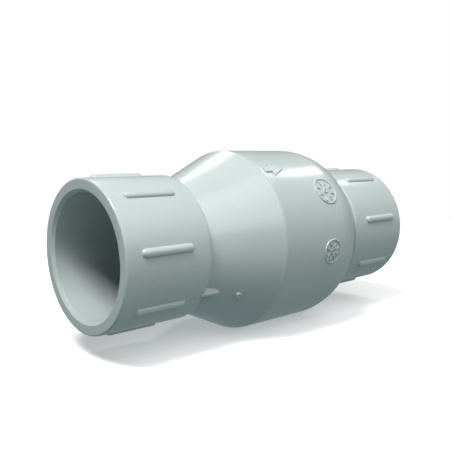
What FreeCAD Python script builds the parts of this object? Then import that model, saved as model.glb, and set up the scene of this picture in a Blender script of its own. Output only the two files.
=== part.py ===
import FreeCAD, Part
import math
import os

V = FreeCAD.Vector

# In-line swing check valve in grey PVC with two solvent-weld sockets.
# Two moulded housing halves are cemented together round a seat ring that carries a sprung flapper.
# Millimetres. Flow runs along +X, +Z is up, and the origin lies on the flow axis midway
# between the two end faces. The flapper is drawn closed.

# ---------------------------------------------------------------- driving sizes

PIPE_OD = 60.32                # nominal 2 inch pipe
SOCKET_PLAY = 0.04             # radial play between pipe and socket
SOCKET_DEPTH = 38.1
SOCKET_WALL = 6.6
MOUTH_CHAMFER = 1.6
STOP_STEP = 4.7                # height of the shoulder that the pipe end meets
BARREL_PAST_STOP = 9.4         # how far each socket barrel runs past its stop

GRIP_COUNT = 8                 # raised grip bars round each barrel
GRIP_LENGTH = 28.0
GRIP_WIDTH = 3.8
GRIP_HEIGHT = 1.5
GRIP_FROM_MOUTH = 8.4
INLET_GRIP_CLOCKING = 8.5      # degrees from horizontal to the first bar
OUTLET_GRIP_CLOCKING = 12.5

WAIST_WALL = 7.5               # wall between waterway and the narrow waist behind each barrel
WAIST_LENGTH = 3.6
OUTLET_WAIST_LENGTH = 1.6
WAIST_FILLET = 1.1
BARREL_EDGE = 1.2

SEAT_WALL = 6.5                # seat ring spigot, radially
FINE_ROUND = 0.3               # moulded and turned edges, from sharpest to softest
EDGE_ROUND = 0.5
SOFT_ROUND = 0.8
MERGE = 1.0                    # how far joined solids run into each other
GAUGE = 0.01                   # tolerance when picking edges by their place
SPIGOT_LENGTH = 6.0
FLANGE_LENGTH = 3.4
FLANGE_LIP = 3.3               # how far the flange stands out past the spigot
SEAT_SETBACK = 14.5            # end of barrel to the pocket's floor
RING_PLAY = 0.1
BEAD_HEIGHT = 1.2
BEAD_WIDTH = 1.6
BEAD_FROM_PORT = 1.2
RING_CORD = 2.2                # section of the O-ring behind the seat
RING_GROOVE_PLAY = 0.45
CORD_PLAY = 0.01

SWING_ROOM = 11.4              # chamber radius past the seat pocket radius
BODY_WALL = 5.7
CONE_PAST_PIN = 3.0            # the taper ends this far past the hinge pin
INNER_CORNER_SETBACK = 1.0     # the inside of the taper ends this far before the outside
CORNER_FILLET = 3.0
DOME_RADIUS = 32.0             # outside radius of the rounded shoulder
DOME_ARC_MIDDLE = 25.0         # degrees round the shoulder where its arcs are pinned
TIP_IN_DOME = 9.65             # the open flapper's tip reaches this far into the shoulder
LAP_LENGTH = 12.0              # overlap of the two halves at the cemented joint
LAP_SHARE = 0.5                # share of the body wall that the inner half's tongue takes
LAP_PLAY = 0.05
SEAM_GROOVE = 0.3
SEAM_PAST_CORNER = 1.6

OPEN_ANGLE = 70.0              # full travel of the flapper, in degrees
SEAL_GAP = 0.1                 # between bead and seal, closed
SEAL_THICKNESS = 2.5
SEAL_PAST_BEAD = 1.4
SEAL_HOLE_RADIUS = 6.5
PLATE_THICKNESS = 3.4
RIM_WALL = 1.2
RIM_PLAY = 0.15
RIM_DEPTH = 1.5                # how far the rim stands forward round the seal
HUB_RADIUS = 7.5
HUB_HEIGHT = 4.0
STIFFENER_COUNT = 8
STIFFENER_WIDTH = 2.0
STIFFENER_HEIGHT = 2.0
STIFFENER_SHORT = 2.5          # stiffeners stop this far inside the rim
ARM_LOW_Z = 2.0                # lower end of the arms, just above the screw

PIN_RADIUS = 1.75
PIN_ABOVE_SEAL = 2.2           # height of the pin over the top of the seal
PIN_BEHIND_PLATE = 4.6
PIN_PLAY = 0.05                # running play of the flapper on its pin
PIN_SEAT_PLAY = 0.02
PIN_END = 1.3                  # pin past the outside of each clip
KNUCKLE_WALL = 2.1
KNUCKLE_WIDTH = 5.2
SPRING_SPACE = 9.6             # between the two knuckles
EAR_WALL = 2.4
EAR_WIDTH = 5.5
EAR_CLEAR = 0.7                # ears and bridge over the flapper's rim
WALL_CLEAR = 0.4               # ears inside the housing's taper
SPACER_THICKNESS = 0.7
SPACER_PLAY = 0.15
BRIDGE_LENGTH = 5.6
HEEL_HEIGHT = 3.0
HEEL_ROUNDING = 0.8
HEEL_GAP = 0.15                # left at the stop when fully open

WIRE = 0.9
COIL_RADIUS = 3.2              # mean
COIL_TURNS = 6
COIL_PITCH = 1.2
LEG_BEND = 1.2
HOOK_LENGTH = 6.8              # fixed leg's end, lying over the bridge
MOVING_LEG_SHARE = 0.53        # of the pin's height over the flow axis
SPRING_REST_GAP = 0.05
SPRING_PAD_TOP = 6.0           # pad under the moving leg starts this far below the pin

CLIP_THICKNESS = 0.6
CLIP_GAP = 0.1
CLIP_RADIUS = 3.7
CLIP_WEB = 1.1
CLIP_PRONG = 1.5
CLIP_GROOVE = 0.45
CLIP_MOUTH = 2.4

SCREW_RADIUS = 2.5
SCREW_HOLE_PLAY = 0.15
HEAD_RADIUS = 4.75
HEAD_CROWN_RADIUS = 2.9
HEAD_HEIGHT = 2.75
HEAD_SOCKET_FLATS = 3.0
HEAD_SOCKET_DEPTH = 1.6
RETAINER_RADIUS = 19.0
RETAINER_THICKNESS = 2.6
RETAINER_DISH = 6.0            # width of the retainer's sloping edge
BOSS_PLAY = 0.1
WASHER_RADIUS = 5.0
WASHER_THICKNESS = 1.0
NUT_FLATS = 8.0
NUT_HEIGHT = 3.4
NUT_CHAMFER = 0.45
NUT_COLLAR_RADIUS = 3.5
NUT_COLLAR = 1.6
SCREW_PAST_NUT = 0.8

MARK_HEIGHT = 0.6
PIP_RADIUS = 1.4
PIP_HEIGHT = 0.7
PIP_PAST_BARREL = 11.5
PIP_ANGLE = -24.0
TAB_LENGTH = 5.5
TAB_WIDTH = 1.5
TAB_HEIGHT = 3.2
TAB_ANGLE = -32.0
ARROW_LENGTH = 14.0
ARROW_WIDTH = 9.0
ARROW_SHAFT = 3.4
ARROW_PAST_SEAM = 3.0
ARROW_ANGLE = 55.0             # degrees up from horizontal, on the -Y side
RING_MARK_WIDTH = 0.9
BIG_RING_RADIUS = 6.8
BIG_RING_ANGLE = 34.5
SMALL_RING_RADIUS = 5.2
SMALL_RING_ANGLE = -6.0
RINGS_BEFORE_DOME = 6.5        # ring centres, upstream of the rounded shoulder

# ---------------------------------------------------------------- derived sizes

bore_r = PIPE_OD / 2 + SOCKET_PLAY
barrel_r = bore_r + SOCKET_WALL
port_r = bore_r - STOP_STEP
barrel_len = SOCKET_DEPTH + BARREL_PAST_STOP
waist_r = port_r + WAIST_WALL
pocket_r = port_r + SEAT_WALL
flange_pocket_r = pocket_r + FLANGE_LIP
chamber_r = pocket_r + SWING_ROOM
body_r = chamber_r + BODY_WALL

# stations along the flow, measured from the inlet face
s_pocket = barrel_len + SEAT_SETBACK
s_flange = s_pocket + SPIGOT_LENGTH
s_seat = s_flange + FLANGE_LENGTH
s_bead = s_seat + BEAD_HEIGHT
s_seal = s_bead + SEAL_GAP
s_plate = s_seal + SEAL_THICKNESS
s_back = s_plate + PLATE_THICKNESS
s_pin = s_back + PIN_BEHIND_PLATE
s_cone_start = barrel_len + WAIST_LENGTH
s_cone_end = s_pin + CONE_PAST_PIN
s_inner_corner = s_cone_end - INNER_CORNER_SETBACK
s_seam = s_cone_end + SEAM_PAST_CORNER
s_lap_end = s_seam + LAP_LENGTH

bead_r = port_r + BEAD_FROM_PORT + BEAD_WIDTH / 2
seal_r = bead_r + BEAD_WIDTH / 2 + SEAL_PAST_BEAD
rim_r = seal_r + RIM_PLAY + RIM_WALL
pin_z = seal_r + PIN_ABOVE_SEAL
lap_r = chamber_r + BODY_WALL * LAP_SHARE

swing = math.radians(OPEN_ANGLE)
s_tip = s_pin + (pin_z + rim_r) * math.sin(swing) - PIN_BEHIND_PLATE * math.cos(swing)
s_dome = s_tip - TIP_IN_DOME
dome_axis_r = body_r - DOME_RADIUS
s_dome_end = s_dome + math.sqrt(DOME_RADIUS ** 2 - (waist_r - dome_axis_r) ** 2)
s_out_barrel = s_dome_end + OUTLET_WAIST_LENGTH
length = s_out_barrel + barrel_len
x0 = -length / 2               # inlet face in the part's frame
inner_dome_r = DOME_RADIUS - BODY_WALL
s_port_out = s_dome + math.sqrt(inner_dome_r ** 2 - (port_r - dome_axis_r) ** 2)

moving_leg = MOVING_LEG_SHARE * pin_z
knuckle_r = PIN_RADIUS + KNUCKLE_WALL
knuckle_in = SPRING_SPACE / 2
knuckle_out = knuckle_in + KNUCKLE_WIDTH
ear_in = knuckle_out + SPACER_THICKNESS + 2 * SPACER_PLAY
ear_out = ear_in + EAR_WIDTH
ear_r = PIN_RADIUS + EAR_WALL
ear_floor_z = math.sqrt(rim_r ** 2 - ear_in ** 2) + EAR_CLEAR
ear_top_z = pin_z + ear_r
bridge_floor_z = rim_r + EAR_CLEAR
bridge_top_z = pin_z + COIL_RADIUS - WIRE / 2 - SPRING_REST_GAP
bridge_face = s_seat + BRIDGE_LENGTH
clip_in = ear_out + CLIP_GAP
pin_half = clip_in + CLIP_THICKNESS + PIN_END
s_retainer = s_seal - RETAINER_THICKNESS
s_hub = s_back + HUB_HEIGHT
s_nut = s_hub + WASHER_THICKNESS

# ---------------------------------------------------------------- drawing helpers


def at(station, radius=0.0):
    """A point of a turned outline: station from the inlet face, radius from the flow axis."""
    return V(x0 + station, 0, radius)


def across(station, height, y):
    """A point of the hinge, which lies across the flow."""
    return V(x0 + station, y, height)


def outline(corners):
    """Closed wire through (station, radius, fillet) corners, each fillet a tangent arc."""
    points = [at(c[0], c[1]) for c in corners]
    edges, count = [], len(points)
    starts, ends, arcs = [], [], []
    for i, corner in enumerate(corners):
        here, before, after = points[i], points[i - 1], points[(i + 1) % count]
        fillet = corner[2] if len(corner) > 2 else 0.0
        back, ahead = (before - here).normalize(), (after - here).normalize()
        if fillet <= 0:
            starts.append(here)
            ends.append(here)
            arcs.append(None)
            continue
        half = back.getAngle(ahead) / 2
        run = fillet / math.tan(half)
        middle = (back + ahead).normalize() * (fillet / math.sin(half) - fillet)
        starts.append(here + back * run)
        ends.append(here + ahead * run)
        arcs.append(here + middle)
    for i in range(count):
        if arcs[i] is not None:
            edges.append(Part.Arc(starts[i], arcs[i], ends[i]).toShape())
        following = starts[(i + 1) % count]
        if (following - ends[i]).Length > 1e-6:
            edges.append(Part.LineSegment(ends[i], following).toShape())
    return Part.Wire(Part.__sortEdges__(edges))


def turned(wire):
    """The solid that a closed outline sweeps about the flow axis."""
    return Part.Face(wire).revolve(V(0, 0, 0), V(1, 0, 0), 360)


def rod(radius, start, end):
    """Cylinder between two points."""
    return Part.makeCylinder(radius, (end - start).Length, start, end - start)


def prism(corners, y_low, y_high):
    """Straight prism across the flow, from (station, height) corners."""
    ring = [V(x0 + s, y_low, z) for s, z in corners]
    face = Part.Face(Part.makePolygon(ring + ring[:1]))
    return face.extrude(V(0, y_high - y_low, 0))


def hexagon(flats, station, height):
    """Hexagonal prism along the flow axis."""
    corner = flats / math.sqrt(3)
    ring = [
        V(x0 + station, corner * math.sin(math.radians(60 * i)), corner * math.cos(math.radians(60 * i)))
        for i in range(7)
    ]
    return Part.Face(Part.makePolygon(ring)).extrude(V(height, 0, 0))


def about_axis(shape, angle):
    """A copy turned about the flow axis, from +Z towards -Y when the angle is positive."""
    return shape.rotated(V(0, 0, 0), V(1, 0, 0), angle)


def swung(shape, angle):
    """A copy turned about the hinge pin; a positive angle opens the flapper."""
    return shape.rotated(V(x0 + s_pin, 0, pin_z), V(0, -1, 0), angle)


def joined(first, *others):
    return first.multiFuse(list(others)).removeSplitter()


# ---------------------------------------------------------------- housings


def grip_bar(start):
    """One half-round grip bar with rounded ends, on top of a barrel."""
    core_r = GRIP_WIDTH / 2
    sink = core_r - GRIP_HEIGHT
    low, high = at(start + core_r, barrel_r - sink), at(start + GRIP_LENGTH - core_r, barrel_r - sink)
    return joined(rod(core_r, low, high), Part.makeSphere(core_r, low), Part.makeSphere(core_r, high))


def with_grips(housing, start, clocking):
    """A housing with its ring of grip bars; start is the station where they begin."""
    first = 90 - clocking
    step = 360.0 / GRIP_COUNT
    bars = [about_axis(grip_bar(start), first + step * i) for i in range(GRIP_COUNT)]
    return joined(housing, *bars)


def gate_pip(cone_slope):
    """Round stub left on the taper where the moulding gate was cut off."""
    skin_r = waist_r + cone_slope * (barrel_len + PIP_PAST_BARREL - s_cone_start)
    foot = at(barrel_len + PIP_PAST_BARREL, skin_r - MERGE)
    return about_axis(Part.makeCylinder(PIP_RADIUS, MERGE + PIP_HEIGHT, foot, V(0, 0, 1)), 90 - PIP_ANGLE)


def waist_tab():
    """Small moulded web across the waist, from the end of the barrel to the taper."""
    start = at(barrel_len - MERGE, waist_r - MERGE) - V(0, TAB_WIDTH / 2, 0)
    web = Part.makeBox(MERGE + TAB_LENGTH, TAB_WIDTH, MERGE + TAB_HEIGHT, start)
    return about_axis(web, 90 - TAB_ANGLE)


def inlet_housing():
    """Socket, waist and taper in one moulding, with a tongue that enters the outlet half."""
    cone_slope = (body_r - waist_r) / (s_cone_end - s_cone_start)
    wire = outline([
        (0, bore_r + MOUTH_CHAMFER),
        (0, barrel_r, BARREL_EDGE),
        (barrel_len, barrel_r, BARREL_EDGE),
        (barrel_len, waist_r, WAIST_FILLET),
        (s_cone_start, waist_r, WAIST_FILLET),
        (s_cone_end, body_r, CORNER_FILLET),
        (s_seam - SEAM_GROOVE, body_r),
        (s_seam, body_r - SEAM_GROOVE),
        (s_seam, lap_r - LAP_PLAY),
        (s_lap_end - LAP_PLAY, lap_r - LAP_PLAY),
        (s_lap_end - LAP_PLAY, chamber_r),
        (s_inner_corner, chamber_r, CORNER_FILLET),
        (s_seat, flange_pocket_r + RING_PLAY),
        (s_flange, flange_pocket_r + RING_PLAY),
        (s_flange, pocket_r),
        (s_pocket, pocket_r),
        (s_pocket, port_r),
        (SOCKET_DEPTH, port_r),
        (SOCKET_DEPTH, bore_r),
        (MOUTH_CHAMFER, bore_r),
    ])
    housing = joined(turned(wire), gate_pip(cone_slope), waist_tab())
    return with_grips(housing, GRIP_FROM_MOUTH, INLET_GRIP_CLOCKING)


def mark_on_body(flat, angle):
    """Stands a flat shape, drawn at the top of the body, out of the body's skin."""
    skin = Part.makeCylinder(body_r + MARK_HEIGHT, length, V(x0, 0, 0), V(1, 0, 0))
    core = Part.makeCylinder(body_r - MARK_HEIGHT, length, V(x0, 0, 0), V(1, 0, 0))
    return about_axis(flat.common(skin.cut(core)), 90 - angle)


def ring_mark(station, radius):
    """Plain raised ring, drawn upright through the top of the body."""
    disc = Part.makeCylinder(radius, 2 * body_r, at(station), V(0, 0, 1))
    return disc.cut(Part.makeCylinder(radius - RING_MARK_WIDTH, 2 * body_r, at(station), V(0, 0, 1)))


def arrow_mark(station):
    """Flow arrow that starts at a station and points downstream."""
    neck = station + ARROW_LENGTH - ARROW_WIDTH
    half, tip = ARROW_SHAFT / 2, station + ARROW_LENGTH
    ring = [
        (station, -half), (neck, -half), (neck, -ARROW_WIDTH / 2), (tip, 0),
        (neck, ARROW_WIDTH / 2), (neck, half), (station, half), (station, -half),
    ]
    face = Part.Face(Part.makePolygon([V(x0 + s, y, 0) for s, y in ring]))
    return face.extrude(V(0, 0, 2 * body_r))


def outlet_housing():
    """Body cylinder, rounded shoulder, waist and socket in one moulding, with raised marks."""
    arc_mid = math.radians(DOME_ARC_MIDDLE)
    outer = Part.Arc(
        at(s_dome, body_r),
        at(s_dome + DOME_RADIUS * math.sin(arc_mid), dome_axis_r + DOME_RADIUS * math.cos(arc_mid)),
        at(s_dome_end, waist_r),
    ).toShape()
    inner = Part.Arc(
        at(s_port_out, port_r),
        at(s_dome + inner_dome_r * math.sin(arc_mid), dome_axis_r + inner_dome_r * math.cos(arc_mid)),
        at(s_dome, chamber_r),
    ).toShape()
    face_s, stop_s = length, length - SOCKET_DEPTH
    barrel = outline([
        (s_out_barrel, waist_r - MERGE),
        (s_out_barrel, barrel_r, BARREL_EDGE),
        (face_s, barrel_r, BARREL_EDGE),
        (face_s, bore_r + MOUTH_CHAMFER),
        (face_s - MOUTH_CHAMFER, bore_r),
        (stop_s, bore_r),
        (stop_s, port_r),
        (s_out_barrel, port_r),
    ])
    runs = [
        (s_dome_end, waist_r), (s_out_barrel, waist_r), (s_out_barrel, port_r), (s_port_out, port_r),
    ]
    chamber = [
        (s_dome, chamber_r), (s_lap_end, chamber_r), (s_lap_end, lap_r), (s_seam, lap_r),
        (s_seam, body_r - SEAM_GROOVE), (s_seam + SEAM_GROOVE, body_r), (s_dome, body_r),
    ]
    edges = [outer, inner]
    for line in (runs, chamber):
        for a, b in zip(line[:-1], line[1:]):
            edges.append(Part.LineSegment(at(*a), at(*b)).toShape())
    shell = Part.Wire(Part.__sortEdges__(edges))
    housing = joined(turned(shell), turned(barrel))
    ring_s = s_dome - RINGS_BEFORE_DOME
    marks = [
        mark_on_body(arrow_mark(s_seam + ARROW_PAST_SEAM), ARROW_ANGLE),
        mark_on_body(ring_mark(ring_s, BIG_RING_RADIUS), BIG_RING_ANGLE),
        mark_on_body(ring_mark(ring_s, SMALL_RING_RADIUS), SMALL_RING_ANGLE),
    ]
    housing = joined(housing, *marks)
    return with_grips(housing, length - GRIP_FROM_MOUTH - GRIP_LENGTH, OUTLET_GRIP_CLOCKING)


# ---------------------------------------------------------------- seat


def seat_ring():
    """Ring with a raised bead, two hinge ears and the bridge that stops the flapper."""
    spigot_r = pocket_r - RING_PLAY
    groove_s = s_pocket + (SPIGOT_LENGTH - RING_CORD - 2 * RING_GROOVE_PLAY) / 2
    groove_e = groove_s + RING_CORD + 2 * RING_GROOVE_PLAY
    groove_r = pocket_r - RING_CORD
    ring = turned(outline([
        (s_pocket, port_r),
        (s_pocket, spigot_r, EDGE_ROUND),
        (groove_s, spigot_r),
        (groove_s, groove_r),
        (groove_e, groove_r),
        (groove_e, spigot_r),
        (s_flange, spigot_r),
        (s_flange, flange_pocket_r),
        (s_seat, flange_pocket_r),
        (s_seat, bead_r + BEAD_WIDTH / 2),
        (s_bead, bead_r + BEAD_WIDTH / 2, EDGE_ROUND),
        (s_bead, bead_r - BEAD_WIDTH / 2, EDGE_ROUND),
        (s_seat, bead_r - BEAD_WIDTH / 2),
        (s_seat, port_r, EDGE_ROUND),
    ]))
    pieces = []
    for side in (-1, 1):
        low, high = sorted((side * ear_in, side * ear_out))
        strut = prism([
            (s_flange, ear_floor_z), (s_flange, ear_top_z), (s_pin, ear_top_z), (s_pin, ear_floor_z),
        ], low, high)
        eye = rod(ear_r, across(s_pin, pin_z, low), across(s_pin, pin_z, high))
        pieces += [strut, eye]
    bridge = prism([
        (s_flange, bridge_floor_z), (s_flange, bridge_top_z), (bridge_face, bridge_top_z),
        (bridge_face, bridge_floor_z),
    ], -ear_in, ear_in)
    room = turned(outline([
        (s_flange, 0), (s_flange, flange_pocket_r), (s_seat, flange_pocket_r),
        (s_inner_corner, chamber_r - WALL_CLEAR), (s_lap_end, chamber_r - WALL_CLEAR), (s_lap_end, 0),
    ]))
    body = joined(ring, *[p.common(room) for p in pieces + [bridge]])
    hole_ends = across(s_pin, pin_z, -2 * ear_out), across(s_pin, pin_z, 2 * ear_out)
    return body.cut(rod(PIN_RADIUS + PIN_SEAT_PLAY, *hole_ends)).removeSplitter()


def seat_o_ring():
    middle = s_pocket + SPIGOT_LENGTH / 2
    return Part.makeTorus(pocket_r - RING_CORD / 2, RING_CORD / 2 - CORD_PLAY, at(middle), V(1, 0, 0))


# ---------------------------------------------------------------- flapper


def flapper():
    """Ribbed disc with a rim round its seal, a hub and two hinge knuckles with stop heels."""
    hole_r = SCREW_RADIUS + SCREW_HOLE_PLAY
    seal_pocket_r = seal_r + RIM_PLAY
    disc = turned(outline([
        (s_plate, hole_r),
        (s_plate, seal_pocket_r),
        (s_plate - RIM_DEPTH, seal_pocket_r),
        (s_plate - RIM_DEPTH, rim_r, FINE_ROUND),
        (s_back, rim_r, SOFT_ROUND),
        (s_back, HUB_RADIUS, SOFT_ROUND),
        (s_hub, HUB_RADIUS, EDGE_ROUND),
        (s_hub, hole_r),
    ]))
    s_root = s_back - PLATE_THICKNESS + MERGE
    stiffeners = []
    for i in range(STIFFENER_COUNT):
        angle = 360.0 / STIFFENER_COUNT * (i + 0.5)
        bar = prism([
            (s_root, HUB_RADIUS - MERGE), (s_back + STIFFENER_HEIGHT, HUB_RADIUS - MERGE),
            (s_back + STIFFENER_HEIGHT, HUB_RADIUS + STIFFENER_HEIGHT),
            (s_back, rim_r - STIFFENER_SHORT), (s_root, rim_r - STIFFENER_SHORT),
        ], -STIFFENER_WIDTH / 2, STIFFENER_WIDTH / 2)
        stiffeners.append(about_axis(bar, angle))
    arms = []
    for side in (-1, 1):
        low, high = sorted((side * knuckle_in, side * knuckle_out))
        knuckle = rod(knuckle_r, across(s_pin, pin_z, low), across(s_pin, pin_z, high))
        slant = knuckle_r * math.sqrt(0.5)
        arm_top = pin_z - knuckle_r / 2 - MERGE
        arm = prism([
            (s_root, arm_top), (s_root, ARM_LOW_Z), (s_hub - EDGE_ROUND, ARM_LOW_Z),
            (s_pin + slant, pin_z - slant), (s_pin, pin_z), (s_pin - slant, arm_top),
        ], low, high)
        contact_s, heel_top = bridge_face + HEEL_GAP, pin_z + HEEL_HEIGHT
        heel_outline = [(contact_s, pin_z), (contact_s, heel_top), (s_pin, heel_top), (s_pin, pin_z)]
        heel = prism(heel_outline, low, high)
        crown = [e for e in heel.Edges if e.BoundBox.ZMin > heel_top - GAUGE and e.BoundBox.XLength < GAUGE]
        heel = heel.makeFillet(HEEL_ROUNDING, crown)
        arms += [knuckle, arm, swung(heel, -OPEN_ANGLE)]
    pad_s = s_pin - COIL_RADIUS - WIRE / 2 - SPRING_REST_GAP
    pad_top, pad_low = pin_z - SPRING_PAD_TOP, pin_z - moving_leg - MERGE
    spring_pad = prism([
        (s_root, pad_low), (s_root, pad_top), (pad_s, pad_top), (pad_s, pad_low),
    ], -knuckle_in, knuckle_in)
    body = joined(disc, *(stiffeners + arms + [spring_pad]))
    pin_ends = across(s_pin, pin_z, -ear_in), across(s_pin, pin_z, ear_in)
    holes = joined(rod(PIN_RADIUS + PIN_PLAY, *pin_ends), rod(hole_r, at(s_seal), at(s_nut)))
    return body.cut(holes).removeSplitter()


def flapper_seal():
    """Flat rubber ring with rounded outer edges."""
    return turned(outline([
        (s_seal, SEAL_HOLE_RADIUS),
        (s_seal, seal_r, EDGE_ROUND),
        (s_plate, seal_r, FINE_ROUND),
        (s_plate, SEAL_HOLE_RADIUS),
    ]))


def seal_retainer():
    """Shallow dished clamp plate with a boss that centres the seal."""
    hole_r = SCREW_RADIUS + SCREW_HOLE_PLAY
    return turned(outline([
        (s_plate, hole_r),
        (s_plate, SEAL_HOLE_RADIUS - BOSS_PLAY),
        (s_seal, SEAL_HOLE_RADIUS - BOSS_PLAY),
        (s_seal, RETAINER_RADIUS, FINE_ROUND),
        (s_seal - RETAINER_THICKNESS / 2, RETAINER_RADIUS, EDGE_ROUND),
        (s_retainer, RETAINER_RADIUS - RETAINER_DISH, 2 * EDGE_ROUND),
        (s_retainer, hole_r),
    ]))


def retainer_screw():
    """Button-head machine screw with a hexagon socket."""
    head_s = s_retainer - HEAD_HEIGHT
    end_s = s_nut + NUT_HEIGHT + NUT_COLLAR + SCREW_PAST_NUT
    body = turned(outline([
        (head_s, 0),
        (head_s, HEAD_CROWN_RADIUS, 2 * EDGE_ROUND),
        (s_retainer - EDGE_ROUND, HEAD_RADIUS, FINE_ROUND),
        (s_retainer, HEAD_RADIUS),
        (s_retainer, SCREW_RADIUS),
        (end_s - EDGE_ROUND, SCREW_RADIUS),
        (end_s, SCREW_RADIUS - EDGE_ROUND),
        (end_s, 0),
    ]))
    return body.cut(hexagon(HEAD_SOCKET_FLATS, head_s - MERGE, HEAD_SOCKET_DEPTH + MERGE))


def retainer_washer():
    hole_r = SCREW_RADIUS + SCREW_HOLE_PLAY
    return turned(outline([
        (s_hub, hole_r), (s_hub, WASHER_RADIUS), (s_nut, WASHER_RADIUS), (s_nut, hole_r),
    ]))


def retainer_nut():
    """Lock nut with a round collar behind its chamfered hexagon."""
    end_s = s_nut + NUT_HEIGHT + NUT_COLLAR
    corner_r = NUT_FLATS / math.sqrt(3)
    flats = hexagon(NUT_FLATS, s_nut, NUT_HEIGHT)
    low, high = s_nut, s_nut + NUT_HEIGHT
    chamfer = turned(outline([
        (low, 0), (low, corner_r - NUT_CHAMFER), (low + NUT_CHAMFER, corner_r),
        (high - NUT_CHAMFER, corner_r), (high, corner_r - NUT_CHAMFER), (high, 0),
    ]))
    collar = turned(outline([
        (low + MERGE, 0), (low + MERGE, NUT_COLLAR_RADIUS),
        (end_s, NUT_COLLAR_RADIUS, EDGE_ROUND), (end_s, 0),
    ]))
    hole = rod(SCREW_RADIUS + PIN_SEAT_PLAY, at(low - MERGE), at(end_s + MERGE))
    return joined(flats.common(chamfer), collar).cut(hole)


# ---------------------------------------------------------------- hinge


def hinge_pin():
    """Plain pin with chamfered ends and a groove for the clip near each end."""
    pin = rod(PIN_RADIUS, across(s_pin, pin_z, -pin_half), across(s_pin, pin_z, pin_half))
    rims = [e for e in pin.Edges if e.BoundBox.YLength < GAUGE]
    pin = pin.makeChamfer(FINE_ROUND, rims)
    for side in (-1, 1):
        a = across(s_pin, pin_z, side * (clip_in - PIN_PLAY))
        b = across(s_pin, pin_z, side * (clip_in + CLIP_THICKNESS + PIN_PLAY))
        pin = pin.cut(rod(2 * PIN_RADIUS, a, b).cut(rod(PIN_RADIUS - CLIP_GROOVE, a, b)))
    return pin


def pin_clip(side):
    """Spring-steel E-clip: an open ring with three inner prongs that sit in the pin's groove."""
    a = across(s_pin, pin_z, side * clip_in)
    b = across(s_pin, pin_z, side * (clip_in + CLIP_THICKNESS))
    low_y, high_y = sorted((a.y, b.y))
    groove_r = PIN_RADIUS - CLIP_GROOVE + PIN_SEAT_PLAY
    ring = rod(CLIP_RADIUS, a, b).cut(rod(CLIP_RADIUS - CLIP_WEB, a, b))
    prongs = []
    for angle in (90, 180, 270):
        prong = Part.makeBox(
            CLIP_PRONG, high_y - low_y, CLIP_RADIUS - groove_r - CLIP_WEB / 2,
            V(x0 + s_pin - CLIP_PRONG / 2, low_y, pin_z - CLIP_RADIUS + CLIP_WEB / 2),
        )
        prongs.append(prong.rotated(V(x0 + s_pin, 0, pin_z), V(0, 1, 0), angle))
    mouth = Part.makeBox(
        CLIP_MOUTH, high_y - low_y, CLIP_RADIUS * 2,
        V(x0 + s_pin - CLIP_MOUTH / 2, low_y, pin_z - CLIP_RADIUS * 2),
    )
    return joined(ring, *prongs).cut(mouth).cut(rod(groove_r, a, b))


def hinge_spacer(side):
    """Thin washer between a knuckle and its ear."""
    a = across(s_pin, pin_z, side * (knuckle_out + SPACER_PLAY))
    b = across(s_pin, pin_z, side * (knuckle_out + SPACER_PLAY + SPACER_THICKNESS))
    return rod(knuckle_r, a, b).cut(rod(PIN_RADIUS + PIN_PLAY, a, b))


def torsion_spring():
    """Coil round the pin; one end hooks over the bridge and the other lies down the flapper's back."""
    half = COIL_TURNS * COIL_PITCH / 2
    helix = Part.makeHelix(COIL_PITCH, 2 * half, COIL_RADIUS)
    start_ring = Part.makeCircle(WIRE / 2, V(COIL_RADIUS, 0, 0), V(0, 1, 0))
    coil = Part.Wire(helix.Edges).makePipeShell([Part.Wire(start_ring)], True, True)
    coil.rotate(V(0, 0, 0), V(1, 0, 0), 90)
    coil.rotate(V(0, 0, 0), V(0, 1, 0), 180)
    coil.translate(V(x0 + s_pin, half, pin_z))
    front_s = s_pin - COIL_RADIUS
    hook_z = bridge_top_z + SPRING_REST_GAP + WIRE / 2
    foot, shin = across(front_s, pin_z, half), across(front_s, hook_z - LEG_BEND, half)
    knee, toe = across(front_s - LEG_BEND, hook_z, half), across(front_s - HOOK_LENGTH, hook_z, half)
    lean = math.sqrt(0.5) * LEG_BEND
    middle = across(front_s - LEG_BEND + lean, hook_z - LEG_BEND + lean, half)
    hook_path = Part.Wire([
        Part.LineSegment(foot, shin).toShape(),
        Part.Arc(shin, middle, knee).toShape(),
        Part.LineSegment(knee, toe).toShape(),
    ])
    hook_end = Part.Wire(Part.makeCircle(WIRE / 2, foot, V(0, 0, 1)))
    hook = hook_path.makePipeShell([hook_end], True, True)
    leg_top, leg_tip = across(front_s, pin_z, -half), across(front_s, pin_z - moving_leg, -half)
    leg = rod(WIRE / 2, leg_tip, leg_top)
    return joined(coil, hook, leg, Part.makeSphere(WIRE / 2, foot), Part.makeSphere(WIRE / 2, leg_top))


# ---------------------------------------------------------------- output

PARTS = {
    "inlet_housing": inlet_housing,
    "outlet_housing": outlet_housing,
    "seat_ring": seat_ring,
    "seat_o_ring": seat_o_ring,
    "flapper": flapper,
    "flapper_seal": flapper_seal,
    "seal_retainer": seal_retainer,
    "retainer_screw": retainer_screw,
    "retainer_washer": retainer_washer,
    "retainer_nut": retainer_nut,
    "hinge_pin": hinge_pin,
    "pin_clip_left": lambda: pin_clip(-1),
    "pin_clip_right": lambda: pin_clip(1),
    "hinge_spacer_left": lambda: hinge_spacer(-1),
    "hinge_spacer_right": lambda: hinge_spacer(1),
    "torsion_spring": torsion_spring,
}

os.makedirs("parts", exist_ok=True)
for name, make in PARTS.items():
    shape = make()
    shape.exportStep(os.path.join("parts", name + ".step"))
    state = "valid" if shape.isValid() else "NOT VALID"
    print(name, state, len(shape.Solids), "solid", round(shape.Volume, 1), "mm3")
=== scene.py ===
import math

import bmesh
import bpy
from mathutils import Matrix, Vector


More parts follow.
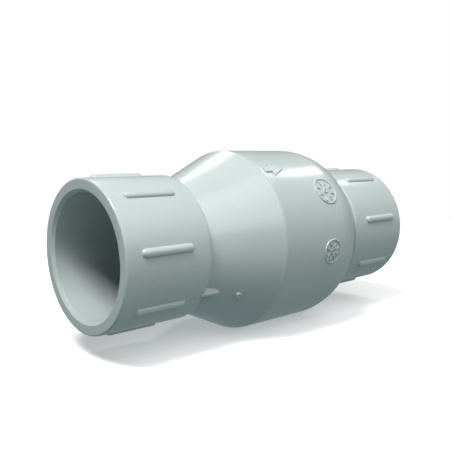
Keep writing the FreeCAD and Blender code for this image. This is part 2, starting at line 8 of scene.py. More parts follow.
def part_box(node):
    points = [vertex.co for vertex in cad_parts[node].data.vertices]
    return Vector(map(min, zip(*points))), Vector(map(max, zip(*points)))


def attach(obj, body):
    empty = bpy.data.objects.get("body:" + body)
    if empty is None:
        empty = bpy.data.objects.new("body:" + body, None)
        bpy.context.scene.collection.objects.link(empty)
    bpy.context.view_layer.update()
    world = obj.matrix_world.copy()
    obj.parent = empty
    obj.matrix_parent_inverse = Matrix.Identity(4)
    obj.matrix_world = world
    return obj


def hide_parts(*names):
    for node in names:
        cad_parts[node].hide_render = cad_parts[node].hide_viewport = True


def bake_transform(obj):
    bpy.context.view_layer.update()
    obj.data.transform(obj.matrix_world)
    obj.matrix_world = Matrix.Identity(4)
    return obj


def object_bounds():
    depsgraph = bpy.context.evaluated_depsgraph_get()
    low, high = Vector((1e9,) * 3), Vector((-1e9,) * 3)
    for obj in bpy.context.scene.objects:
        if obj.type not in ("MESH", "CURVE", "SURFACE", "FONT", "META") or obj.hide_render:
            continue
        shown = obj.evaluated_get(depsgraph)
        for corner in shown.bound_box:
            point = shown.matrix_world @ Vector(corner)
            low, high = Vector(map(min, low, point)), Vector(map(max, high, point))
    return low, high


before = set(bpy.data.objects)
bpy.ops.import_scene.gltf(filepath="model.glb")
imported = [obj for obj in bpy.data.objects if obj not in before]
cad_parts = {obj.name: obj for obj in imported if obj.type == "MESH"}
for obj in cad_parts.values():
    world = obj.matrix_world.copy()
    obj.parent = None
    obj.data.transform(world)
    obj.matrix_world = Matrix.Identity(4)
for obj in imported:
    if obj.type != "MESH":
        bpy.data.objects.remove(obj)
cad_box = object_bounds()

# ---------------------------------------------------------------- inlet housing
# The upstream half of the valve: a socket barrel for the pipe, a waist and the long taper.
# Injection-moulded in grey PVC as one piece, so its edges are softly rounded and its outer
# skin is smooth with a faint flow mottle. The outlet half is cemented over its far end.

mm = 0.001
turn_steps = 192               # faces round every turned piece of the housing

face_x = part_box("inlet_housing")[0].x
barrel_r = 36.8 * mm
bore_r = 30.2 * mm
port_r = 25.5 * mm
waist_r = 33.0 * mm
body_r = 49.1 * mm
chamber_r = 43.4 * mm
barrel_length = 47.5 * mm
stop_depth = 38.1 * mm
cone_start, cone_end = 51.1 * mm, 86.2 * mm
seam = 87.8 * mm
lap_end = 99.8 * mm
seat_floor, flange_floor, seat_front = 62.0 * mm, 68.0 * mm, 71.4 * mm
ring_r, flange_r = 32.0 * mm, 35.3 * mm
pocket_play = 0.1 * mm         # room round the seat ring's flange
mouth_flare = 1.6 * mm         # lead-in round the mouth of a socket
mouth_edge, barrel_edge, waist_edge = 0.9 * mm, 1.2 * mm, 1.3 * mm
spigot_r, lap_r = 46.2 * mm, 46.25 * mm    # the lap: the inlet half's end inside the outlet's
lap_play = 0.05 * mm           # the spigot stops this far short of the lap's end
seam_groove = 0.12 * mm        # fine line where the two halves meet


def rounded(corners, steps=7):
    """Closed outline through (station, radius, fillet) corners, with short runs by each fillet."""
    points = []
    count = len(corners)
    for i, corner in enumerate(corners):
        here = Vector(corner[:2])
        before, after = Vector(corners[i - 1][:2]), Vector(corners[(i + 1) % count][:2])
        fillet = corner[2] if len(corner) > 2 else 0.0
        back, ahead = (before - here).normalized(), (after - here).normalized()
        edge = 0.25 * mm
        if fillet <= 0:
            if (before - here).length > 4 * edge:
                points.append(here + back * edge)
            points.append(here)
            if (after - here).length > 4 * edge:
                points.append(here + ahead * edge)
            continue
        half = back.angle(ahead) / 2
        run = fillet / math.tan(half)
        centre = here + (back + ahead).normalized() * (fillet / math.sin(half))
        first, last = here + back * run - centre, here + ahead * run - centre
        points.append(centre + first + back * edge)
        for k in range(steps + 1):
            points.append(centre + first.normalized().slerp(last.normalized(), k / steps) * fillet)
        points.append(centre + last + ahead * edge)
    return points


def turned(bm, outline, start_x):
    """Adds the closed solid that an outline sweeps about the flow axis to a bmesh."""
    rings = []
    for k in range(turn_steps):
        angle = 2 * math.pi * k / turn_steps
        c, s = math.cos(angle), math.sin(angle)
        rings.append([bm.verts.new((start_x + p.x, p.y * s, p.y * c)) for p in outline])
    for k in range(turn_steps):
        a, b = rings[k], rings[(k + 1) % turn_steps]
        for i in range(len(outline)):
            j = (i + 1) % len(outline)
            bm.faces.new((a[i], a[j], b[j], b[i]))


def finished(name, bm, material, smooth_angle=30):
    """Turns a bmesh into a piece with outward faces, smooth shading and one material."""
    bmesh.ops.remove_doubles(bm, verts=bm.verts, dist=1e-7)
    bmesh.ops.recalc_face_normals(bm, faces=bm.faces)
    mesh = bpy.data.meshes.new(name)
    bm.to_mesh(mesh)
    bm.free()
    mesh.shade_smooth()
    mesh.set_sharp_from_angle(angle=math.radians(smooth_angle))
    mesh.materials.append(material)
    piece = bpy.data.objects.new(name, mesh)
    bpy.context.scene.collection.objects.link(piece)
    return piece


def shader(name, roughness, metallic=0.0, ior=1.5):
    """A new material with its Principled node; gives (material, node tree, Principled node)."""
    material = bpy.data.materials.new(name)
    material.use_nodes = True
    tree = material.node_tree
    principled = tree.nodes["Principled BSDF"]
    principled.inputs["Roughness"].default_value = roughness
    principled.inputs["Metallic"].default_value = metallic
    principled.inputs["IOR"].default_value = ior
    return material, tree, principled


def noise(tree, scale, detail=3.0, stretch=(1, 1, 1)):
    """Noise on the piece's own coordinates, in metres."""
    place = tree.nodes.new("ShaderNodeTexCoord")
    mapping = tree.nodes.new("ShaderNodeMapping")
    mapping.inputs["Scale"].default_value = stretch
    field = tree.nodes.new("ShaderNodeTexNoise")
    field.inputs["Scale"].default_value = scale
    field.inputs["Detail"].default_value = detail
    tree.links.new(place.outputs["Object"], mapping.inputs["Vector"])
    tree.links.new(mapping.outputs["Vector"], field.inputs["Vector"])
    return field.outputs["Fac"]


def between(tree, factor, low, high, from_low=0.35, from_high=0.65):
    """Maps a factor to a range of values, or to a blend of two colours."""
    if isinstance(low, (tuple, list)):
        ramp = tree.nodes.new("ShaderNodeValToRGB")
        ramp.color_ramp.elements[0].position = from_low
        ramp.color_ramp.elements[0].color = (*low, 1)
        ramp.color_ramp.elements[1].position = from_high
        ramp.color_ramp.elements[1].color = (*high, 1)
        tree.links.new(factor, ramp.inputs["Fac"])
        return ramp.outputs["Color"]
    spread = tree.nodes.new("ShaderNodeMapRange")
    spread.inputs["From Min"].default_value = from_low
    spread.inputs["From Max"].default_value = from_high
    spread.inputs["To Min"].default_value = low
    spread.inputs["To Max"].default_value = high
    tree.links.new(factor, spread.inputs["Value"])
    return spread.outputs["Result"]


def bumped(tree, principled, height, strength, distance):
    """Adds a bump layer under whatever already feeds the Normal input."""
    bump = tree.nodes.new("ShaderNodeBump")
    bump.inputs["Strength"].default_value = strength
    bump.inputs["Distance"].default_value = distance
    tree.links.new(height, bump.inputs["Height"])
    earlier = principled.inputs["Normal"].links
    if earlier:
        tree.links.new(earlier[0].from_socket, bump.inputs["Normal"])
    tree.links.new(bump.outputs["Normal"], principled.inputs["Normal"])


def moulded_pvc(name, tint, roughness=0.235):
    """Grey moulded PVC: slow cloudy mottle, fine speckle, uneven sheen and a faint skin texture."""
    material, tree, principled = shader(name, roughness, ior=1.53)
    cloud = noise(tree, 22, 2, (0.5, 1, 1))
    low, high = [c * 0.95 for c in tint], [c * 1.05 for c in tint]
    dim, bright = (0.965, 0.965, 0.965), (1.03, 1.03, 1.03)
    mix = tree.nodes.new("ShaderNodeMix")
    mix.data_type = "RGBA"
    mix.blend_type = "MULTIPLY"
    mix.inputs["Factor"].default_value = 1.0
    speckle = between(tree, noise(tree, 1400, 1), dim, bright, 0.3, 0.7)
    tree.links.new(between(tree, cloud, low, high, 0.25, 0.75), mix.inputs["A"])
    tree.links.new(speckle, mix.inputs["B"])
    tree.links.new(mix.outputs["Result"], principled.inputs["Base Color"])
    sheen = noise(tree, 60, 2)
    tree.links.new(between(tree, sheen, roughness - 0.03, roughness + 0.03, 0.2, 0.8),
                   principled.inputs["Roughness"])
    bumped(tree, principled, noise(tree, 60, 1), 0.05, 0.0006)
    bumped(tree, principled, noise(tree, 1700, 2), 0.09, 0.00005)
    return material


grey_pvc = moulded_pvc("grey_pvc", (0.447, 0.505, 0.498))


def grip_bar(length, width, height, radius):
    """One half-round grip bar lying along the top of a barrel, flared at its foot, as a bmesh."""
    bm = bmesh.new()
    along, across = 44, 22
    foot, flare = 0.9 * mm, 0.28 * mm          # the flare's reach past the bar, and its height
    rim_sunk, lip_sunk, base_sunk = 0.06 * mm, 0.02 * mm, 0.6 * mm
    overlap = 0.1 * mm
    reach = width / 2 + foot
    straight = length / 2 - width / 2

    def rise(x, y):
        away = math.hypot(max(abs(x) - straight, 0), y)
        if away >= reach:
            return -rim_sunk
        crown = max(1 - (away / (width / 2 + overlap)) ** 2, 0) ** 0.5 * height
        skirt = flare * max(1 - away / reach, 0) ** 2
        return max(crown, skirt) if away < reach - overlap else skirt - lip_sunk

    grid = []
    for i in range(along + 1):
        x = (straight + reach) * math.sin(math.pi * (i / along - 0.5))
        row = []
        for j in range(across + 1):
            y = reach * math.sin(math.pi * (j / across - 0.5))
            r, angle = radius + rise(x, y), y / radius
            row.append(bm.verts.new((x, r * math.sin(angle), r * math.cos(angle))))
        grid.append(row)
    for a, b in zip(grid[:-1], grid[1:]):
        for j in range(across):
            bm.faces.new((a[j], b[j], b[j + 1], a[j + 1]))
    near_side, far_side = [row[0] for row in grid], [row[-1] for row in grid]
    rim = grid[0] + far_side[1:-1] + grid[-1][::-1] + near_side[-2:0:-1]
    base = []                  # the same outline again, hidden in the barrel's wall
    for v in rim:
        inward = (radius - base_sunk) / v.co.yz.length
        base.append(bm.verts.new((v.co.x, v.co.y * inward, v.co.z * inward)))
    for i in range(len(rim)):
        j = (i + 1) % len(rim)
        bm.faces.new((rim[i], rim[j], base[j], base[i]))
    bm.faces.new(base)
    return bm


def ring_of_copies_tree(name):
    """Geometry Nodes tree: the input mesh repeated round the flow axis, turned by even steps."""
    tree = bpy.data.node_groups.new(name, "GeometryNodeTree")
    face = tree.interface
    face.new_socket("Geometry", in_out="INPUT", socket_type="NodeSocketGeometry")
    inputs = {"Count": "Int", "First Angle": "Float", "Station": "Float", "Finish": "Material"}
    for label, kind in inputs.items():
        face.new_socket(label, in_out="INPUT", socket_type="NodeSocket" + kind)
    face.new_socket("Geometry", in_out="OUTPUT", socket_type="NodeSocketGeometry")
    nodes, link = tree.nodes, tree.links.new
    given, out = nodes.new("NodeGroupInput"), nodes.new("NodeGroupOutput")
    points = nodes.new("GeometryNodePoints")
    place = nodes.new("ShaderNodeCombineXYZ")
    link(given.outputs["Count"], points.inputs["Count"])
    link(given.outputs["Station"], place.inputs["X"])
    link(place.outputs["Vector"], points.inputs["Position"])
    index = nodes.new("GeometryNodeInputIndex")
    share = nodes.new("ShaderNodeMath")
    share.operation = "DIVIDE"
    link(index.outputs["Index"], share.inputs[0])
    link(given.outputs["Count"], share.inputs[1])
    angle = nodes.new("ShaderNodeMath")
    angle.operation = "MULTIPLY_ADD"
    angle.inputs[1].default_value = 2 * math.pi
    link(share.outputs["Value"], angle.inputs[0])
    link(given.outputs["First Angle"], angle.inputs[2])
    spin = nodes.new("ShaderNodeCombineXYZ")
    link(angle.outputs["Value"], spin.inputs["X"])
    copies = nodes.new("GeometryNodeInstanceOnPoints")
    link(points.outputs["Points"], copies.inputs["Points"])
    link(given.outputs["Geometry"], copies.inputs["Instance"])
    link(spin.outputs["Vector"], copies.inputs["Rotation"])
    real = nodes.new("GeometryNodeRealizeInstances")
    finish = nodes.new("GeometryNodeSetMaterial")
    link(copies.outputs["Instances"], real.inputs["Geometry"])
    link(real.outputs["Geometry"], finish.inputs["Geometry"])
    link(given.outputs["Finish"], finish.inputs["Material"])
    link(finish.outputs["Geometry"], out.inputs["Geometry"])
    return tree


ring_of_copies = ring_of_copies_tree("ring_of_copies")


def repeated(piece, tree, **settings):
    """Runs a Geometry Nodes tree on a piece and bakes the result into its plain mesh."""
    modifier = piece.modifiers.new(tree.name, "NODES")
    modifier.node_group = tree
    for socket in tree.interface.items_tree:
        if socket.in_out == "INPUT" and socket.name in settings:
            modifier[socket.identifier] = settings[socket.name]
    depsgraph = bpy.context.evaluated_depsgraph_get()
    baked = bpy.data.meshes.new_from_object(piece.evaluated_get(depsgraph))
    piece.modifiers.remove(modifier)
    piece.data = baked
    baked.name = piece.name
    return piece


def joined(name, *pieces):
    """One piece from several meshes that are already in place."""
    bm = bmesh.new()
    for piece in pieces:
        bm.from_mesh(piece.data)
    mesh = bpy.data.meshes.new(name)
    bm.to_mesh(mesh)
    bm.free()
    mesh.materials.append(pieces[0].data.materials[0])
    whole = bpy.data.objects.new(name, mesh)
    bpy.context.scene.collection.objects.link(whole)
    for piece in pieces:
        bpy.data.objects.remove(piece)
    return whole


bar_length, bar_width, bar_height, bar_count = 28 * mm, 3.8 * mm, 1.5 * mm, 8
bar_from_mouth = 8.4 * mm
inlet_clocking, outlet_clocking = 8.5, 12.5    # how far each ring of bars is turned, in degrees
crease = 35                                    # a sharper edge than this stays crisp, in degrees


def grip_bars(name, centre_x, clocking):
    """The ring of grip bars round one barrel, centred at a station along the flow axis."""
    shape = grip_bar(bar_length, bar_width, bar_height, barrel_r)
    bar = finished(name, shape, grey_pvc, smooth_angle=60)
    return repeated(bar, ring_of_copies, **{
        "Count": bar_count, "First Angle": math.radians(90 - clocking), "Station": centre_x,
        "Finish": grey_pvc,
    })


shell = bmesh.new()
turned(shell, rounded([
    (0, bore_r + mouth_flare, 0.25 * mm),
    (0, barrel_r, mouth_edge),
    (barrel_length, barrel_r, barrel_edge),
    (barrel_length, waist_r, waist_edge),
    (cone_start, waist_r, 2.2 * mm),
    (cone_end, body_r, 3.0 * mm),
    (seam - seam_groove, body_r, 0.05 * mm),
    (seam, body_r - seam_groove),
    (seam, spigot_r),
    (lap_end - lap_play, spigot_r),
    (lap_end - lap_play, chamber_r, 0.5 * mm),
    (cone_end - 1 * mm, chamber_r, 3.0 * mm),
    (seat_front, flange_r + pocket_play),
    (flange_floor, flange_r + pocket_play),
    (flange_floor, ring_r),
    (seat_floor, ring_r),
    (seat_floor, port_r, 0.3 * mm),
    (stop_depth, port_r, 0.4 * mm),
    (stop_depth, bore_r, 0.4 * mm),
    (mouth_flare, bore_r, 0.4 * mm),
]), face_x)
inlet_shell = finished("inlet_shell", shell, grey_pvc)


def soft_block(low, high, edge, skin_angle):
    """A small rounded block that stands out of the skin; low and high are (along, out, across)."""
    bm = bmesh.new()
    bmesh.ops.create_cube(bm, size=1.0)
    size = [h - l for l, h in zip(low, high)]
    middle = [(h + l) / 2 for l, h in zip(low, high)]
    for v in bm.verts:
        v.co = Vector((middle[0] + v.co.x * size[0], middle[2] + v.co.y * size[2],
                       middle[1] + v.co.z * size[1]))
    bmesh.ops.bevel(bm, geom=bm.edges[:], offset=edge, segments=3, profile=0.6, affect="EDGES")
    turn = Matrix.Rotation(math.radians(90 - skin_angle), 4, "X")
    bmesh.ops.transform(bm, matrix=turn, verts=bm.verts)
    return bm


web_from, web_to = barrel_length - 2.5 * mm, barrel_length + 9 * mm
web_foot, web_top = waist_r - 1 * mm, barrel_r + 0.6 * mm
web_half_width, web_edge, web_angle = 0.95 * mm, 0.45 * mm, -32.5
web = soft_block((face_x + web_from, web_foot, -web_half_width),
                 (face_x + web_to, web_top, web_half_width), web_edge, web_angle)
waist_web = finished("waist_web", web, grey_pvc, smooth_angle=40)


def gate_stub(station, angle, radius, rise):
    """Round stub left where the moulding gate was cut off, slightly torn on top."""
    bm = bmesh.new()
    slope = (body_r - waist_r) / (cone_end - cone_start)
    skin = waist_r + slope * (station - cone_start)
    side = [(1.25, -0.8), (1.06, 0.0), (1.0, 0.25), (0.96, 0.7)]   # shares of radius and height
    top = [(0.8, 0.95), (0.35, 0.8), (0.12, 0.72)]
    tear, torn_from = 0.12, 0.6
    rings, steps = [], 24
    for r, h in side + top:
        ring = []
        for k in range(steps):
            a = 2 * math.pi * k / steps
            torn = tear * math.sin(3 * a + 0.5) * rise if h > torn_from else 0.0
            u, v = r * radius * math.cos(a), r * radius * math.sin(a)
            ring.append(bm.verts.new((face_x + station + u, v, skin + u * slope + h * rise + torn)))
        rings.append(ring)
    for a, b in zip(rings[:-1], rings[1:]):
        for k in range(steps):
            bm.faces.new((a[k], a[(k + 1) % steps], b[(k + 1) % steps], b[k]))
    bm.faces.new(rings[-1])
    bm.faces.new(list(reversed(rings[0])))
    turn = Matrix.Rotation(math.radians(90 - angle), 4, "X")
    bmesh.ops.transform(bm, matrix=turn, verts=bm.verts)
    return bm


stub_station, stub_angle, stub_r, stub_rise = 67 * mm, -33.4, 1.7 * mm, 1.1 * mm
stub = finished("gate_stub", gate_stub(stub_station, stub_angle, stub_r, stub_rise), grey_pvc,
                smooth_angle=50)
inlet_bars = grip_bars("inlet_bars", face_x + bar_from_mouth + bar_length / 2, inlet_clocking)
inlet = joined("inlet_body", inlet_shell, inlet_bars, waist_web, stub)
inlet.data.set_sharp_from_angle(angle=math.radians(crease))
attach(inlet, "housing")
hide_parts("inlet_housing")

# ---------------------------------------------------------------- outlet housing
# The downstream half: body cylinder, rounded shoulder, short waist and the second socket barrel.
# Moulded in the same grey PVC, with a flow arrow and two blank mould dials raised on its skin.

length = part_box("outlet_housing")[1].x - face_x
dome_start = 131.2 * mm
dome_r = 32.0 * mm
dome_axis_r = body_r - dome_r
wall = body_r - chamber_r
out_barrel = length - barrel_length
stop_x = length - stop_depth
waist_root = 0.6 * mm          # the shoulder's arcs stop this far above the waist and the port
run_in = 4.0 * mm
arc_start = 0.01               # where both arcs start, just past the body, in radians


def arc_points(radius, start, end, count):
    """Points on an arc of the shoulder, by angle from the top of the arc."""
    return [
        Vector((dome_start + radius * math.sin(a), dome_axis_r + radius * math.cos(a)))
        for a in (start + (end - start) * k / count for k in range(count + 1))
    ]


outer_end = math.acos((waist_r + waist_root - dome_axis_r) / dome_r)
inner_end = math.acos((port_r + waist_root - dome_axis_r) / (dome_r - wall))
outer_steps, inner_steps = 26, 20

# The slices drop the end points that would meet where the shoulder's arcs start and end.
near = rounded([
    (dome_start, chamber_r),
    (lap_end, chamber_r),
    (lap_end, lap_r),
    (seam, lap_r),
    (seam, body_r - seam_groove),
    (seam + seam_groove, body_r, 0.05 * mm),
    (dome_start, body_r),
])[1:-2]
far = rounded([
    (out_barrel - run_in, waist_r),
    (out_barrel, waist_r, 0.8 * mm),
    (out_barrel, barrel_r, barrel_edge),
    (length, barrel_r, mouth_edge),
    (length, bore_r + mouth_flare, 0.25 * mm),
    (length - mouth_flare, bore_r, 0.4 * mm),
    (stop_x, bore_r, 0.4 * mm),
    (stop_x, port_r, 0.4 * mm),
    (out_barrel + run_in, port_r),
])[2:-2]
shell = bmesh.new()
turned(shell, near + arc_points(dome_r, arc_start, outer_end, outer_steps) + far
       + arc_points(dome_r - wall, inner_end, arc_start, inner_steps), face_x)
outlet_shell = finished("outlet_shell", shell, grey_pvc)


def on_skin(station, angle, u, v, height):
    """Maps flat (u along, v round) to the body cylinder, at an angle up from horizontal."""
    turn = angle + v / body_r
    past = max(station + u - dome_start, 0)
    r = dome_axis_r + (dome_r ** 2 - past ** 2) ** 0.5 + height
    return Vector((face_x + station + u, -r * math.cos(turn), r * math.sin(turn)))


def raised_outline(bm, loop, station, angle, height=0.75 * mm, bevel=0.3 * mm):
    """A closed flat loop of (u, v) raised from the skin with sloped, softened sides."""
    count = len(loop)
    sunk = 0.25 * mm
    levels = [(0.0, -sunk), (0.0, 0.0), (bevel * 0.4, height * 0.75), (bevel, height)]
    rings = []
    for inset, rise in levels:
        ring = []
        for i, p in enumerate(loop):
            before, after = loop[i - 1], loop[(i + 1) % count]
            n1 = Vector((p[1] - before[1], before[0] - p[0])).normalized()
            n2 = Vector((after[1] - p[1], p[0] - after[0])).normalized()
            mean = n1 + n2
            shift = mean / max(mean.length_squared / 2, 0.25)
            ring.append(bm.verts.new(on_skin(
                station, angle, p[0] - shift.x * inset, p[1] - shift.y * inset, rise)))
        rings.append(ring)
    for a, b in zip(rings[:-1], rings[1:]):
        for i in range(count):
            j = (i + 1) % count
            bm.faces.new((a[i], a[j], b[j], b[i]))
    bm.faces.new(rings[-1])
    bm.faces.new(list(reversed(rings[0])))


def raised_ring(bm, radius, band, station, angle, height=0.6 * mm):
    """A plain raised ring with a rounded band."""
    steps, section, sunk = 72, 8, 0.2 * mm
    rows = []
    for i in range(steps):
        a = 2 * math.pi * i / steps
        row = []
        for k in range(section + 1):
            t = math.pi * k / section
            r = radius + band / 2 * math.cos(t)
            rise = height * math.sin(t) ** 0.6 if 0 < k < section else -sunk
            u, v = r * math.cos(a), r * math.sin(a)
            row.append(bm.verts.new(on_skin(station, angle, u, v, rise)))
        rows.append(row)
    for i in range(steps):
        a, b = rows[i], rows[(i + 1) % steps]
        for k in range(section):
            bm.faces.new((a[k], b[k], b[k + 1], a[k + 1]))
        bm.faces.new((a[section], b[section], b[0], a[0]))


marks = bmesh.new()
arrow_l, arrow_w, shaft = 14 * mm, 9 * mm, 3.4 * mm
neck = arrow_l - arrow_w
arrow = [(0, -shaft / 2), (neck, -shaft / 2), (neck, -arrow_w / 2), (arrow_l, 0),
         (neck, arrow_w / 2), (neck, shaft / 2), (0, shaft / 2)]
arrow_station, arrow_angle = seam + 1 * mm, math.radians(53)
raised_outline(marks, arrow, arrow_station, arrow_angle)
dials = (                      # radius, station, and angle up from horizontal
    (7.6 * mm, dome_start - 5.5 * mm, math.radians(34.5)),
    (6.4 * mm, dome_start - 8.5 * mm, math.radians(-5)),
)
hub_r, band, tick_gap = 1.2 * mm, 1.0 * mm, 1.2 * mm
ticks, tick_length, tick_half_width = 8, 2.6 * mm, 0.5 * mm
tick_height, tick_bevel = 0.65 * mm, 0.18 * mm
for dial_r, station, angle in dials:
    raised_ring(marks, dial_r, band, station, angle)
    raised_ring(marks, hub_r, band, station, angle)
    for k in range(ticks):
        turn = 2 * math.pi * (k + 0.5) / ticks
        ray = Vector((math.cos(turn), math.sin(turn)))
        side = Vector((-ray.y, ray.x)) * tick_half_width
        inner, outer = ray * (dial_r - tick_gap - tick_length), ray * (dial_r - tick_gap)
        tick = [inner - side, outer - side, outer + side, inner + side]
        raised_outline(marks, tick, station, angle, tick_height, tick_bevel)
mark_piece = finished("raised_marks", marks, grey_pvc)
outlet_bars = grip_bars("outlet_bars", face_x + length - bar_from_mouth - bar_length / 2,
                        outlet_clocking)
outlet = joined("outlet_body", outlet_shell, outlet_bars, mark_piece)
outlet.data.set_sharp_from_angle(angle=math.radians(crease))
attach(outlet, "housing")
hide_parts("outlet_housing")

# ---------------------------------------------------------------- seat ring
# The ring that the flapper closes on, pushed into the inlet half against an O-ring. Moulded in a
# darker grey PVC, with a raised bead, two hinge ears and the bridge that stops the flapper.

seat_pvc = moulded_pvc("seat_pvc", (0.30, 0.335, 0.34), roughness=0.34)


def finish_node(name, material):
    """Gives a CAD node its material."""
    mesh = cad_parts[name].data
    mesh.materials.clear()
    mesh.materials.append(material)


finish_node("seat_ring", seat_pvc)

# ---------------------------------------------------------------- rubber
# The O-ring behind the seat ring and the flat seal on the flapper, in matt black EPDM with a
# faint bloom. The O-ring is moulded, and the seal is cut from sheet.

black_rubber, bloomed_rubber = (0.018, 0.018, 0.019), (0.042, 0.042, 0.044)
epdm, tree, principled = shader("epdm", roughness=0.62)
bloom = noise(tree, 120, 5)
tree.links.new(between(tree, bloom, black_rubber, bloomed_rubber), principled.inputs["Base Color"])
tree.links.new(between(tree, bloom, 0.55, 0.75), principled.inputs["Roughness"])
bumped(tree, principled, noise(tree, 2600, 3), 0.25, 0.00005)
finish_node("seat_o_ring", epdm)
finish_node("flapper_seal", epdm)

# ---------------------------------------------------------------- flapper
# The hinged disc: a moulded PVC plate with a rim round its seal, radial stiffeners on its back,
# a hub for the screw and two arms that end in knuckles on the pin and in the stop heels.

finish_node("flapper", moulded_pvc("flapper_pvc", (0.24, 0.27, 0.275), roughness=0.32))

# ---------------------------------------------------------------- clamp stack
# What holds the seal on the flapper: a spun stainless retainer plate, a button-head screw through
# the hub, a plain washer and a lock nut. All are bright stainless with turning marks.


def stainless(name, tint, roughness, centre, axis, pitch):
    """Machined stainless steel, with fine rings about an axis (0 is x, 1 is y) through a centre."""
    material, tree, principled = shader(name, roughness, 1.0)
    place = tree.nodes.new("ShaderNodeTexCoord")
    mapping = tree.nodes.new("ShaderNodeMapping")
    mapping.inputs["Location"].default_value = [-c for c in centre]
    flatten = tree.nodes.new("ShaderNodeVectorMath")
    flatten.operation = "MULTIPLY"
    flatten.inputs[1].default_value = [0.0 if k == axis else 1.0 for k in range(3)]
    reach = tree.nodes.new("ShaderNodeVectorMath")
    reach.operation = "LENGTH"
    tree.links.new(place.outputs["Object"], mapping.inputs["Vector"])
    tree.links.new(mapping.outputs["Vector"], flatten.inputs[0])
    tree.links.new(flatten.outputs["Vector"], reach.inputs[0])
    rings = tree.nodes.new("ShaderNodeTexNoise")
    rings.noise_dimensions = "1D"
    rings.inputs["Scale"].default_value = 1 / pitch
    rings.inputs["Detail"].default_value = 2
    tree.links.new(reach.outputs["Value"], rings.inputs["W"])
    smear = noise(tree, 300, 3)
    dark = [c * 0.9 for c in tint]
    tree.links.new(between(tree, smear, dark, tint), principled.inputs["Base Color"])
    tree.links.new(between(tree, rings.outputs["Fac"], roughness - 0.04, roughness + 0.07),
                   principled.inputs["Roughness"])
    bumped(tree, principled, rings.outputs["Fac"], 0.25, 0.00003)
    return material


valve_axis = (0, 0, 0)
turned_steel = stainless("turned_steel", (0.66, 0.655, 0.64), 0.33, valve_axis, 0, 0.35 * mm)
bright_steel = stainless("bright_steel", (0.72, 0.715, 0.70), 0.19, valve_axis, 0, 0.20 * mm)
finish_node("seal_retainer", turned_steel)
for name in ("retainer_screw", "retainer_washer", "retainer_nut"):
    finish_node(name, bright_steel)

# ---------------------------------------------------------------- hinge
# A drawn stainless pin through both ears, an E-clip in the groove at each end, and a natural nylon
# spacer between each knuckle and its ear.

pin_low, pin_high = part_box("hinge_pin")
pin_x, pin_z = (pin_low.x + pin_high.x) / 2, (pin_low.z + pin_high.z) / 2
pin_axis = (pin_x, 0, pin_z)
pin_steel = stainless("pin_steel", (0.68, 0.675, 0.66), 0.19, pin_axis, 1, 0.30 * mm)
finish_node("hinge_pin", pin_steel)
dull_steel, worn_steel = (0.30, 0.295, 0.285), (0.46, 0.45, 0.43)
clip_steel, tree, principled = shader("clip_steel", roughness=0.35, metallic=1.0)
scale = noise(tree, 900, 4)
tree.links.new(between(tree, scale, dull_steel, worn_steel), principled.inputs["Base Color"])
tree.links.new(between(tree, scale, 0.28, 0.46), principled.inputs["Roughness"])
bumped(tree, principled, noise(tree, 2400, 2), 0.2, 0.00003)
deep_nylon, pale_nylon = (0.72, 0.70, 0.63), (0.82, 0.80, 0.74)
nylon, tree, principled = shader("natural_nylon", roughness=0.45)
haze = noise(tree, 500, 3)
tree.links.new(between(tree, haze, deep_nylon, pale_nylon), principled.inputs["Base Color"])
tree.links.new(between(tree, haze, 0.38, 0.52), principled.inputs["Roughness"])
bumped(tree, principled, noise(tree, 1800, 2), 0.15, 0.00004)
for side in ("left", "right"):
    finish_node("pin_clip_" + side, clip_steel)
    finish_node("hinge_spacer_" + side, nylon)

# ---------------------------------------------------------------- torsion spring
# Stainless wire wound six times round the pin. One end hooks over the bridge of the seat ring and
# the other lies down the flapper's back, so the coil winds up as the flapper opens.

wire_r, coil_r, turns, coil_pitch = 0.45 * mm, 3.2 * mm, 6, 1.2 * mm
half_coil = turns * coil_pitch / 2
hook_reach, leg_reach, bend_r = 6.8 * mm, 0.53 * pin_z, 1.2 * mm
hook_z = coil_r


def spring_path():
    """Points of the wire from its hook to the tip of its leg, relative to the pin."""
    path = []
    hook_steps, bend_steps, coil_steps, leg_steps = 8, 6, 40 * turns, 12
    for k in range(hook_steps + 1):
        x = -coil_r - hook_reach + (hook_reach - bend_r) * k / hook_steps
        path.append(Vector((x, half_coil, hook_z)))
    for k in range(1, bend_steps + 1):
        a = math.pi / 2 * k / bend_steps
        x = -coil_r - bend_r + bend_r * math.sin(a)
        path.append(Vector((x, half_coil, hook_z - bend_r + bend_r * math.cos(a))))
    path.append(Vector((-coil_r, half_coil, (hook_z - bend_r) / 2)))
    for k in range(coil_steps + 1):
        a = 2 * math.pi * turns * k / coil_steps
        y = half_coil - turns * coil_pitch * k / coil_steps
        path.append(Vector((-coil_r * math.cos(a), y, -coil_r * math.sin(a))))
    for k in range(1, leg_steps + 1):
        path.append(Vector((-coil_r, -half_coil, -leg_reach * k / leg_steps)))
    return path


